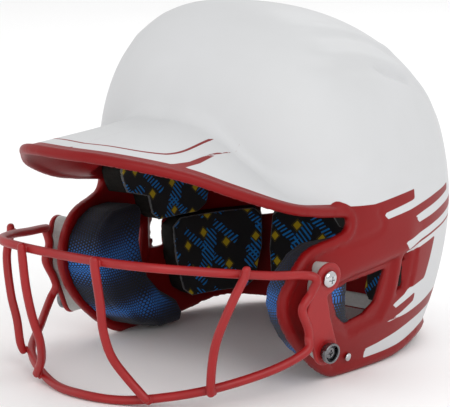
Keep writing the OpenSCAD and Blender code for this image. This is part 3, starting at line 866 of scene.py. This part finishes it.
rim_half_points = [(48.4, -181.6, 87.5), (76.9, -149.8, 82.3), (94, -115.2, 76.5), (101, -93.8, 74),
                   (106, -88, 71.2), (102.7, -88.3, 62.7), (100.6, -94, 53.8), (100, -87.8, 41.8),
                   (99.5, -86.2, 35.1), (100.4, -90.6, 28), (88.8, -111.1, 18.5), (66.7, -142.6, 10.2),
                   (31, -163.8, 3.3)]
RIM = curve([(0, -183.3, 86.6)] + rim_half_points + [(0, -171.3, 3)]
            + [(-x, y, z) for x, y, z in reversed(rim_half_points)], 14, closed=True)
INNER_BAR = [(28.6, -189.2, 91), (28, -189, 85.5), (28.6, -185.6, 64.5), (27.6, -182, 46.8),
             (28, -175.5, 30.4), (34.3, -168, 16.2), (44.3, -162.7, 4)]
OUTER_BAR = [(91.5, -134, 84.7), (91, -134.2, 79.2), (87.8, -141, 65.7), (80.6, -145.4, 44.8),
             (76.3, -145, 29.4), (74.4, -144.3, 14.7), (73.1, -141.8, 8.2)]
WIRE_R = 2.6


near_plate = RIM[(RIM[:, 0] > 96) & (RIM[:, 1] > -118)]


def spacer_field(p):
    x, q = p[..., 0], p[..., 1:]
    head = from_plate(p)
    lean = (1.8 + 0.5 * np.maximum(-x, 0)) * ramp(4, -8, q[..., 0])
    tapered = np.stack([q[..., 0] - lean, q[..., 1]], -1)
    body = smax(smax(x + 0.1, blade(tapered, -0.4 - 0.24 * np.maximum(-x, 0)), 0.8), -dome_distance(head) + 0.15, 0.5)
    body = smax(body, WIRE_R + 0.25 - nearest(head, near_plate)[0], 0.3)
    return smax(smax(body, hole(q, UPPER, 2.75), 0.3), hole(q, LOWER, 2.75), 0.3)


def revolved(p, centre, profile):
    """Distance to a solid turned about a plate hole; profile is (x, r) from back to front."""
    x = p[..., 0]
    r = np.hypot(p[..., 1] - centre[0], p[..., 2] - centre[1])
    poly = np.array(profile + [(profile[-1][0], -9), (profile[0][0], -9)], float)
    flat = np.stack([x, r], -1)
    return area_distance(flat.reshape(-1, 2), poly).reshape(x.shape)


def cross_recess(p, centre, top, size, deep):
    """A tapered Phillips recess."""
    y, z = p[..., 1] - centre[0], p[..., 2] - centre[1]
    below = top - p[..., 0]
    wing = size / 2 - 0.55 * below
    a = np.maximum(np.abs(y) - wing, np.abs(z) - 0.5)
    b = np.maximum(np.abs(z) - wing, np.abs(y) - 0.5)
    core = (np.abs(y) + np.abs(z)) * 0.707 - 1.05 + 0.3 * below
    return np.maximum(np.minimum(np.minimum(a, b), core), below - deep)


HEAD_AT = 2.8
DOME_HEAD = [(HEAD_AT, 4.75), (HEAD_AT + 0.2, 5.0), (HEAD_AT + 0.6, 4.92), (HEAD_AT + 1.0, 4.7),
             (HEAD_AT + 1.5, 4.2), (HEAD_AT + 2.0, 3.45), (HEAD_AT + 2.4, 2.5), (HEAD_AT + 2.62, 1.5),
             (HEAD_AT + 2.7, 0.6)]


def upper_screw_field(p):
    head = revolved(p, UPPER, DOME_HEAD)
    head = smax(head, -cross_recess(p, UPPER, HEAD_AT + 2.9, 5.4, 1.9), 0.15)
    shank = revolved(p, UPPER, [(-20.5, 2.0), (-20.1, 2.35), (HEAD_AT + 0.3, 2.35)])
    return np.minimum(head, shank)


LOW_AT = 2.5 + 0.05 + 1.9 + 0.3


def lower_screw_field(p):
    head = revolved(p, LOWER, [(LOW_AT, 3.85), (LOW_AT + 0.15, 4.0), (LOW_AT + 0.9, 3.9), (LOW_AT + 1.35, 3.3),
                               (LOW_AT + 1.6, 2.2), (LOW_AT + 1.62, 0.5)])
    head = smax(head, -cross_recess(p, LOWER, LOW_AT + 1.75, 4.4, 1.4), 0.15)
    shank = revolved(p, LOWER, [(-20.5, 2.0), (-20.1, 2.35), (LOW_AT + 0.3, 2.35)])
    return np.minimum(head, shank)


def stud_field(p):
    x = p[..., 0]
    r = np.hypot(p[..., 1] - LOWER[0], p[..., 2] - LOWER[1])
    neck = smax(np.abs(x - 3.6) - 1.05, r - 5.0, 0.3)
    rim = smax(np.abs(x - 6.15) - 1.6, r - 6.2, 0.9)
    cup = smin(neck, rim, 0.5)
    cup = smax(cup, -smax(r - 4.75, 4.45 - x, 0.4), 0.6)
    return smax(cup, 2.75 - r, 0.2)


def hardware():
    fine = 0.27
    jobs = [("guard_plate", plate_field, (-0.8, -17, -56), (3.3, 15, 12), 2.0 * fine, COAT, "guard", None),
            ("spacer", spacer_field, (-17, -19, -58), (0.8, 16, 13), 2.6 * fine, SPACER, "spacer", None),
            ("snap_stud", stud_field, (2.0, -4, -53), (8.4, 12, -37), 1.1 * fine, NICKEL, "nickel", None),
            ("upper_screw", upper_screw_field, (-21, -6, -6), (6, 6, 6), fine, CHROME, "screw_chrome", "own"),
            ("lower_screw", lower_screw_field, (-21, -1.5, -50.5), (7, 9.5, -39.5), fine, NICKEL, "nickel", "own")]
    for name, field, low, high, step, material, slot, own in jobs:
        local, quads = field_mesh(field, low, high, step)
        head = from_plate(local)
        for s, side in SIDES:
            node = name + "_" + side
            mesh_piece(node + "_body_mesh", *sided(s, head, quads), material, node, slot,
                       body=node + "_body" if own else "helmet")


def sweep(line, r, closed, sides=16, widths=None):
    """Round tube along a line; widths scales it at each point."""
    line = np.asarray(line, float)
    n = len(line)
    if closed:
        along = np.roll(line, -1, 0) - np.roll(line, 1, 0)
    else:
        along = np.gradient(line, axis=0)
    along /= np.linalg.norm(along, axis=1, keepdims=True)
    axis = line * [1, 1, 0] + [0, 95, 0]
    u = axis - (axis * along).sum(1, keepdims=True) * along
    u /= np.linalg.norm(u, axis=1, keepdims=True)
    v = np.cross(along, u)
    t = np.arange(sides) * 2 * math.pi / sides
    w = np.ones((n, 2)) if widths is None else np.asarray(widths, float)
    ring = (line[:, None] + r * (np.cos(t)[None, :, None] * u[:, None] * w[:, None, :1]
                                 + np.sin(t)[None, :, None] * v[:, None] * w[:, None, 1:]))
    verts = ring.reshape(-1, 3)
    faces = []
    spans = n if closed else n - 1
    for i in range(spans):
        j = (i + 1) % n
        for k in range(sides):
            m = (k + 1) % sides
            faces.append((i * sides + k, i * sides + m, j * sides + m, j * sides + k))
    if not closed:
        faces.append(tuple(range(sides))[::-1])
        faces.append(tuple((n - 1) * sides + k for k in range(sides)))
    return verts, faces


def guard_wires():
    rng = np.random.default_rng(7)
    verts, faces = sweep(RIM, WIRE_R, True)
    mesh_piece("guard_rim_wire", verts, faces, COAT, "guard_rim", "guard")
    for which, bar in (("inner", INNER_BAR), ("outer", OUTER_BAR)):
        line = curve(np.array(bar) + [0, 0, 0.2], 14)
        step = np.concatenate([[0], np.cumsum(np.linalg.norm(np.diff(line, axis=0), axis=1))])
        ends = np.minimum(step, step[-1] - step)
        tip = np.sqrt(np.clip(1 - (1 - np.clip(ends / 2.2, 0, 1)) ** 2, 0.02, 1))
        flat = 1 - 0.16 * np.clip(1 - ends / 9.0, 0, 1)
        verts, faces = sweep(line, WIRE_R, False, widths=np.column_stack([tip * flat, tip]))
        for s, side in SIDES:
            node = "guard_bar_%s_%s" % (side, which)
            mesh_piece(node + "_wire", verts * [s, 1, 1], faces, COAT, node, "guard")
            # Weld beads where the bar lies on the rim
            dist = np.array([np.linalg.norm(RIM - p * [s, 1, 1], axis=1).min() for p in line])
            for end, part in (("top", slice(0, 30)), ("low", slice(-30, None))):
                k = int(np.argmin(dist[part])) + (0 if end == "top" else len(line) - 30)
                bar_pt = line[k] * [s, 1, 1]
                rim_pt = RIM[np.argmin(np.linalg.norm(RIM - bar_pt, axis=1))]
                weld_bead("guard_weld_%s_%s_%s" % (side, which, end), bar_pt, rim_pt, rng)


def weld_bead(name, a, b, rng):
    """A lumpy fillet between two touching wires."""
    mid, gap = (a + b) / 2, b - a
    axis = gap / max(np.linalg.norm(gap), 1e-6)
    bm = bmesh.new()
    bmesh.ops.create_icosphere(bm, subdivisions=3, radius=1.0)
    pts = np.array([v.co[:] for v in bm.verts])
    faces = [[v.index for v in f.verts] for f in bm.faces]
    bm.free()
    phase = rng.uniform(0, 6.28, 3)
    bump = 1 + 0.05 * np.sin(5 * pts[:, 0] + phase[0]) * np.sin(6 * pts[:, 1] + phase[1])
    along = (pts @ axis)[:, None] * axis
    shape = (pts - along) * 2.9 + along * 1.5
    mesh_piece(name, mid + shape * bump[:, None], faces, COAT)


# Pads, as rows of height, first angle and last angle
PADS = {
    "front": [(147, -34, 34), (152, -40, 40), (166, -42, 42), (179, -42, 42), (184, -36, 36)],
    "temple": [(67, 88, 112), (72, 84, 117), (84, 82, 119), (90, 68, 120), (106, 62, 121), (117, 64, 119),
               (121, 70, 114)],
    "rear": [(14, 103, 133), (19, 98, 138), (40, 96.5, 141), (60, 97, 141), (65, 102, 138)],
    "nape": [(12, 150, 168), (17, 145, 172), (38, 144, 174), (60, 145, 173), (65, 150, 168)],
    "jaw": [(3, 67, 82), (8, 59, 86), (18, 52, 84), (27, 48, 73), (38, 45, 67), (50, 43.5, 66),
            (60, 44, 66), (70, 46.5, 68), (79, 51, 69), (84, 57, 67)],
}
GLUE_AT, FOAM_T, JAW_T, FACE_T = 4.1, 11.5, 21.8, 1.4
RIGHT_PRINT_SHIFT = 13.0


class Pad:
    """Outline of one pad on the dome, with distances in mm."""

    def __init__(self, rows, lean=0.0):
        rows, self.lean = np.array(rows, float), lean
        self.middle = (rows[:, 1].min() + rows[:, 2].max()) / 2
        z_mid = rows[:, 0].mean()
        e = dome_pt([self.middle - 2, self.middle + 2], z_mid, 10)
        self.per_degree = np.linalg.norm(e[1] - e[0]) / 4
        left = np.column_stack([(rows[:, 1] - self.middle) * self.per_degree, rows[:, 0]])
        right = np.column_stack([(rows[:, 2] - self.middle) * self.per_degree, rows[:, 0]])
        self.outline = np.concatenate([left, right[::-1]])
        low, high = self.outline.min(0) - 8, self.outline.max(0) + 8
        self.field = Plane(low, high, 0.5, lambda q: area_distance(q, self.outline))

    def flat(self, p):
        """Position on the unrolled pad."""
        x, y, z = p[..., 0], p[..., 1], p[..., 2]
        angle = np.degrees(np.arctan2(x, -(y - centre_y(z))))
        if self.lean:
            angle = angle + self.lean * np.clip(-dome_distance(p), 0, 30) * ramp(65, 50, angle)
        return (angle - self.middle) * self.per_degree, z

    def solid(self, near, far, inset, edge, crown, soft=9.0):
        def field(p):
            s, z = self.flat(p)
            out = self.field(s, z) + inset
            depth = -dome_distance(p)
            swell = crown * (1 - np.exp(np.minimum(out, 0) / soft))
            slab = smax(near - depth, depth - far - swell, 0.5)
            side = smax(out, depth - far - swell, edge)
            return np.maximum(smax(slab, out, 0.6), side)
        return field

    def cloth(self, p, far):
        """Unrolled cloth position, following the side walls down, and distance from the edge."""
        s, z = self.flat(p)
        e = 1.5
        gx = self.field(s + e, z) - self.field(s - e, z)
        gz = self.field(s, z + e) - self.field(s, z - e)
        size = np.maximum(np.hypot(gx, gz), 1e-6)
        down = np.maximum(far + dome_distance(p), 0)
        return np.column_stack([s + gx / size * down, z + gz / size * down]), self.field(s, z), down


def pad_box(pad, far):
    a = pad.outline[:, 0] / pad.per_degree + pad.middle
    pts = np.concatenate([dome_pt(np.repeat(np.linspace(a.min(), a.max(), 9), 9),
                                  np.tile(np.linspace(pad.outline[:, 1].min(), pad.outline[:, 1].max(), 9), 9), d)
                          for d in (0, far + 3)])
    return pts.min(0) - 3, pts.max(0) + 3


def puff(verts, quads, pressure, cap, hold):
    """Runs a cloth simulation on a copy of the mesh and returns how far each vertex is pushed."""
    mesh = bpy.data.meshes.new("cloth_try")
    mesh.from_pydata((verts * MM).tolist(), [], quads.tolist())
    obj = bpy.data.objects.new("cloth_try", mesh)
    bpy.context.scene.collection.objects.link(obj)
    fix_normals(obj)
    group = obj.vertex_groups.new(name="held")
    for i in np.flatnonzero(hold):
        group.add([int(i)], 1.0, "REPLACE")
    cloth = obj.modifiers.new("cloth", "CLOTH")
    cloth.settings.use_pressure = True
    cloth.settings.uniform_pressure_force = pressure
    cloth.settings.vertex_group_mass = "held"
    cloth.settings.tension_stiffness = cloth.settings.compression_stiffness = 25
    cloth.settings.effector_weights.gravity = 0
    cloth.point_cache.frame_start, cloth.point_cache.frame_end = 1, 20
    for f in range(1, 21):
        bpy.context.scene.frame_set(f)
    shape = obj.evaluated_get(bpy.context.evaluated_depsgraph_get()).data
    after = np.empty(len(verts) * 3)
    shape.vertices.foreach_get("co", after)
    bpy.context.scene.frame_set(1)
    bpy.data.objects.remove(obj, do_unlink=True)
    bpy.data.meshes.remove(mesh)
    move = after.reshape(-1, 3) / MM - verts
    size = np.linalg.norm(move, axis=1, keepdims=True)
    return move * np.minimum(1, cap / np.maximum(size, 1e-9))


def carry(coarse, move, fine, reach=6.0):
    """Spreads a coarse mesh's movement over a finer one."""
    out = np.zeros_like(fine)
    for i in range(0, len(fine), 2000):
        d = np.linalg.norm(fine[i:i + 2000, None] - coarse[None], axis=2)
        w = np.exp(-(d / reach) ** 2 * 2) + 1e-9
        out[i:i + 2000] = (w @ move) / w.sum(1, keepdims=True)
    return out


def liner_pads():
    step = 1.25
    far = GLUE_AT + FOAM_T
    for kind in ("front", "temple", "rear", "nape"):
        pad = Pad(PADS[kind])
        low, high = pad_box(pad, far)
        foam, fq = field_mesh(pad.solid(GLUE_AT, far, 0.3, 0.8, 0.6), low, high, step)
        face_field = pad.solid(far + 0.1, far + 0.5 + FACE_T, -0.1, 1.6, 1.3)
        face, cq = field_mesh(face_field, low, high, min(step, 1.1))
        if kind != "front":
            rough, rq = field_mesh(pad.solid(far - 6, far + 0.5 + FACE_T, -0.1, 2.0, 1.3), low, high, 4.2)
            held = -dome_distance(rough) < far - 1
            face = face + carry(rough, puff(rough, rq, 3.0, 1.2, held), face) * 0.6
        for s, side in (SIDES if kind != "front" else ((1, ""),)):
            tail = "_" + side if side else ""
            for part, (v, q), material, slot in (("foam", (foam, fq), FOAM, "foam"),
                                                 ("fabric", (face, cq), PRINT, "print_fabric")):
                uv, out, _ = pad.cloth(v, far + 0.5 + FACE_T + 1)
                node = kind + "_pad" + tail + "_" + part
                rim = ramp(-0.9, -0.2, out) if part == "fabric" else ramp(-0.9, -0.2, out) * ramp(
                    far - 0.8, far + 0.2, -dome_distance(v))
                mesh_piece(node + "_soft", *sided(s, v, q), material, node, slot, layers={"rim": rim},
                           uv=uv + (0 if s > 0 else RIGHT_PRINT_SHIFT), fill=0.85)


def crown_pad():
    step = 1.6
    edge_z = CROWN - 14

    def cap(near, far, crown):
        def field(p):
            depth = -dome_distance(p)
            low = edge_z - depth - p[..., 2]
            return smax(smax(near - depth, depth - far - crown * ramp(0, -14, low), 0.5), low, 1.2)
        return field

    far = GLUE_AT + FOAM_T
    for part, field, material, slot in (("foam", cap(GLUE_AT, far, 0.0), FOAM, "foam"),
                                        ("fabric", cap(far + 0.1, far + 0.5 + FACE_T, 0.8), PRINT, "print_fabric")):
        v, q = field_mesh(field, (-80, -100, 170), (80, 80, 217), step)
        mesh_piece("crown_pad_%s_soft" % part, v, q, material, "crown_pad_" + part, slot, uv=v[:, :2],
                   layers={"rim": ramp(3.5, 1.5, v[:, 2] - (edge_z - far))}, fill=0.85)


def jaw_pads():
    """Wrapped jaw pads: one closed cover over a core, filled out by a cloth simulation."""
    pad = Pad(PADS["jaw"], lean=0.24)
    far = GLUE_AT + JAW_T + FACE_T
    low, high = pad_box(pad, far)
    shape = pad.solid(GLUE_AT + 0.1, far - 0.6, 0.5, 6.5, 1.0, 14.0)
    verts, quads = field_mesh(shape, low, high, 1.15)
    rough, rq = field_mesh(shape, low, high, 4.0)
    held = -dome_distance(rough) < GLUE_AT + 3
    verts = verts + carry(rough, puff(rough, rq, 4.0, 1.6, held), verts)
    uv, out, down = pad.cloth(verts, far)
    s, z = pad.flat(verts)
    upper = np.exp(-((z - 58 - 0.15 * s) / 12) ** 2)
    lower = np.exp(-((z - 21 - 0.15 * s) / 8.5) ** 2)
    dot_bands_and_shade = np.clip(0.12 + 0.95 * np.maximum(upper, lower), 0, 1)
    # Dots painted darker and smaller within 7 mm of the outline, except towards the front: painted shade on the pad's
    # edges inside the shell, round the ear hole.
    dot_bands_and_shade *= 1 - 0.85 * ramp(-7, -1.5, out) * ramp(-22, -12, s)
    # Piped seam round the inner face
    seam = np.exp(-((down - 6.5) / 0.9) ** 2) * ramp(-7, -1, out)
    normal = np.stack([shape(verts + d) - shape(verts - d) for d in np.eye(3) * 0.5], -1)
    normal /= np.maximum(np.linalg.norm(normal, axis=1, keepdims=True), 1e-6)
    verts = verts - normal * (0.45 * seam)[:, None]
    core, core_q = field_mesh(pad.solid(GLUE_AT + 0.6, far - 3.0, 3.0, 4.0, 0.3, 14.0), low, high, 3.0)
    for side_sign, side in SIDES:
        node = "jaw_pad_%s_cover" % side
        mesh_piece(node + "_soft", *sided(side_sign, verts, quads), DOTS, node, "jaw_mesh",
                   layers={"dot_bands_and_shade": dot_bands_and_shade}, uv=uv, fill=0.8)
        node = "jaw_pad_%s_foam" % side
        mesh_piece(node + "_soft", *sided(side_sign, core, core_q), FOAM, node, "foam",
                   layers={"rim": np.zeros(len(core))}, fill=0.9)


def rivets():
    y, z = -36.0, 12.0
    base = dome_x(y, z)
    turn = math.radians(97)
    axis = np.array([math.sin(turn), 0, math.cos(turn)])
    profile = [(-3.5, 1.5), (1.2, 1.5), (1.21, 2.5), (1.5, 2.6), (1.9, 2.2), (2.15, 1.4), (2.2, 0.05)]
    t = np.arange(40) * 2 * math.pi / 40
    u, v = np.array([0, 1.0, 0]), np.cross(axis, [0, 1.0, 0])
    ring = [np.array([base, y, z]) + axis * a + r * (np.cos(t)[:, None] * u + np.sin(t)[:, None] * v)
            for a, r in profile]
    verts = np.concatenate(ring)
    n = 40
    faces = [(i * n + k, i * n + (k + 1) % n, (i + 1) * n + (k + 1) % n, (i + 1) * n + k)
             for i in range(len(profile) - 1) for k in range(n)]
    faces += [tuple(range(n))[::-1], tuple((len(profile) - 1) * n + k for k in range(n))]
    both = np.concatenate([verts, verts * [-1, 1, 1]])
    faces += [tuple(i + len(verts) for i in f) for f in faces]
    mesh_piece("edge_rivets_turned", both, faces, CHROME, "edge_rivets", "screw_chrome")


def dome_x(y, z):
    """Half width of the dome at a side point."""
    xs = np.linspace(60, 110, 501)
    p = np.column_stack([xs, np.full(501, y), np.full(501, z)])
    return float(np.interp(0, dome_distance(p), xs))


def label():
    rows, cols = 6, 24
    a, z = np.meshgrid(np.linspace(172, 188, cols), np.linspace(2.2, 10.8, rows))
    front = dome_pt(a.ravel(), z.ravel(), WALL + 1.1)
    back = dome_pt(a.ravel(), z.ravel(), WALL + 0.6)
    grid = [(j * cols + i, j * cols + i + 1, (j + 1) * cols + i + 1, (j + 1) * cols + i)
            for j in range(rows - 1) for i in range(cols - 1)]
    n = rows * cols
    edge = ([i for i in range(cols)] + [j * cols + cols - 1 for j in range(1, rows)]
            + [n - 1 - i for i in range(1, cols)] + [j * cols for j in range(rows - 2, 0, -1)])
    faces = grid + [tuple(n + k for k in f)[::-1] for f in grid]
    faces += [(edge[i], edge[(i + 1) % len(edge)], n + edge[(i + 1) % len(edge)], n + edge[i])
              for i in range(len(edge))]
    mesh_piece("inner_label_sheet", np.concatenate([front, back]), faces, LABEL, "inner_label", "label")


hardware()
guard_wires()
liner_pads()
crown_pad()
jaw_pads()
rivets()
label()
nuts = bpy.data.objects["flap_nuts"]
for slot_ in nuts.material_slots:
    slot_.material = STEEL


# Camera, floor and light
def aim(obj, place, target):
    obj.location = place
    obj.rotation_euler = (Vector(target) - Vector(place)).to_track_quat("-Z", "Y").to_euler()
    bpy.context.scene.collection.objects.link(obj)


lens = bpy.data.cameras.new("camera")
lens.lens, lens.sensor_width, lens.sensor_fit = 176, 36, "HORIZONTAL"
lens.clip_start, lens.clip_end = 0.05, 30
camera = bpy.data.objects.new("camera", lens)
aim(camera, to_row((832.4, -1065.4, 360.6)), to_row((-17.3, -18.5, 88.6)))
bpy.context.scene.camera = camera


def area_light(name, place, target, size, power, colour=(1, 1, 1)):
    light = bpy.data.lights.new(name, "AREA")
    light.shape, light.size, light.energy, light.color = "DISK", size, power, colour
    aim(bpy.data.objects.new(name, light), place, target)


CENTRE = (0, 0, 0.10)
area_light("key", (1.5, -0.7, 1.1), CENTRE, 1.3, 11)
area_light("fill", (-1.5, -0.9, 0.8), CENTRE, 1.4, 3.5)
area_light("back", (-0.3, 1.5, 1.3), CENTRE, 1.3, 6)
area_light("low", (0.2, -1.6, 0.25), CENTRE, 1.0, 3)

floor_mesh = bpy.data.meshes.new("floor")
floor_mesh.from_pydata([(-6, -6, 0), (6, -6, 0), (6, 6, 0), (-6, 6, 0)], [], [(0, 1, 2, 3)])
floor = bpy.data.objects.new("floor", floor_mesh)
bpy.context.scene.collection.objects.link(floor)
f = Nodes("floor_paper")
floor_mesh.materials.append(f.set(Base_Color=f.mix(f.noise(3, 2, 0.5), (0.96, 0.96, 0.96, 1), (0.98, 0.98, 0.98, 1)),
                                  Roughness=0.9))
bpy.context.scene.view_settings.view_transform = "Standard"
world = bpy.data.worlds.new("studio")
bpy.context.scene.world = world
world.use_nodes = True
world.node_tree.nodes["Background"].inputs[0].default_value = (1, 1, 1, 1)
world.node_tree.nodes["Background"].inputs[1].default_value = 0.88
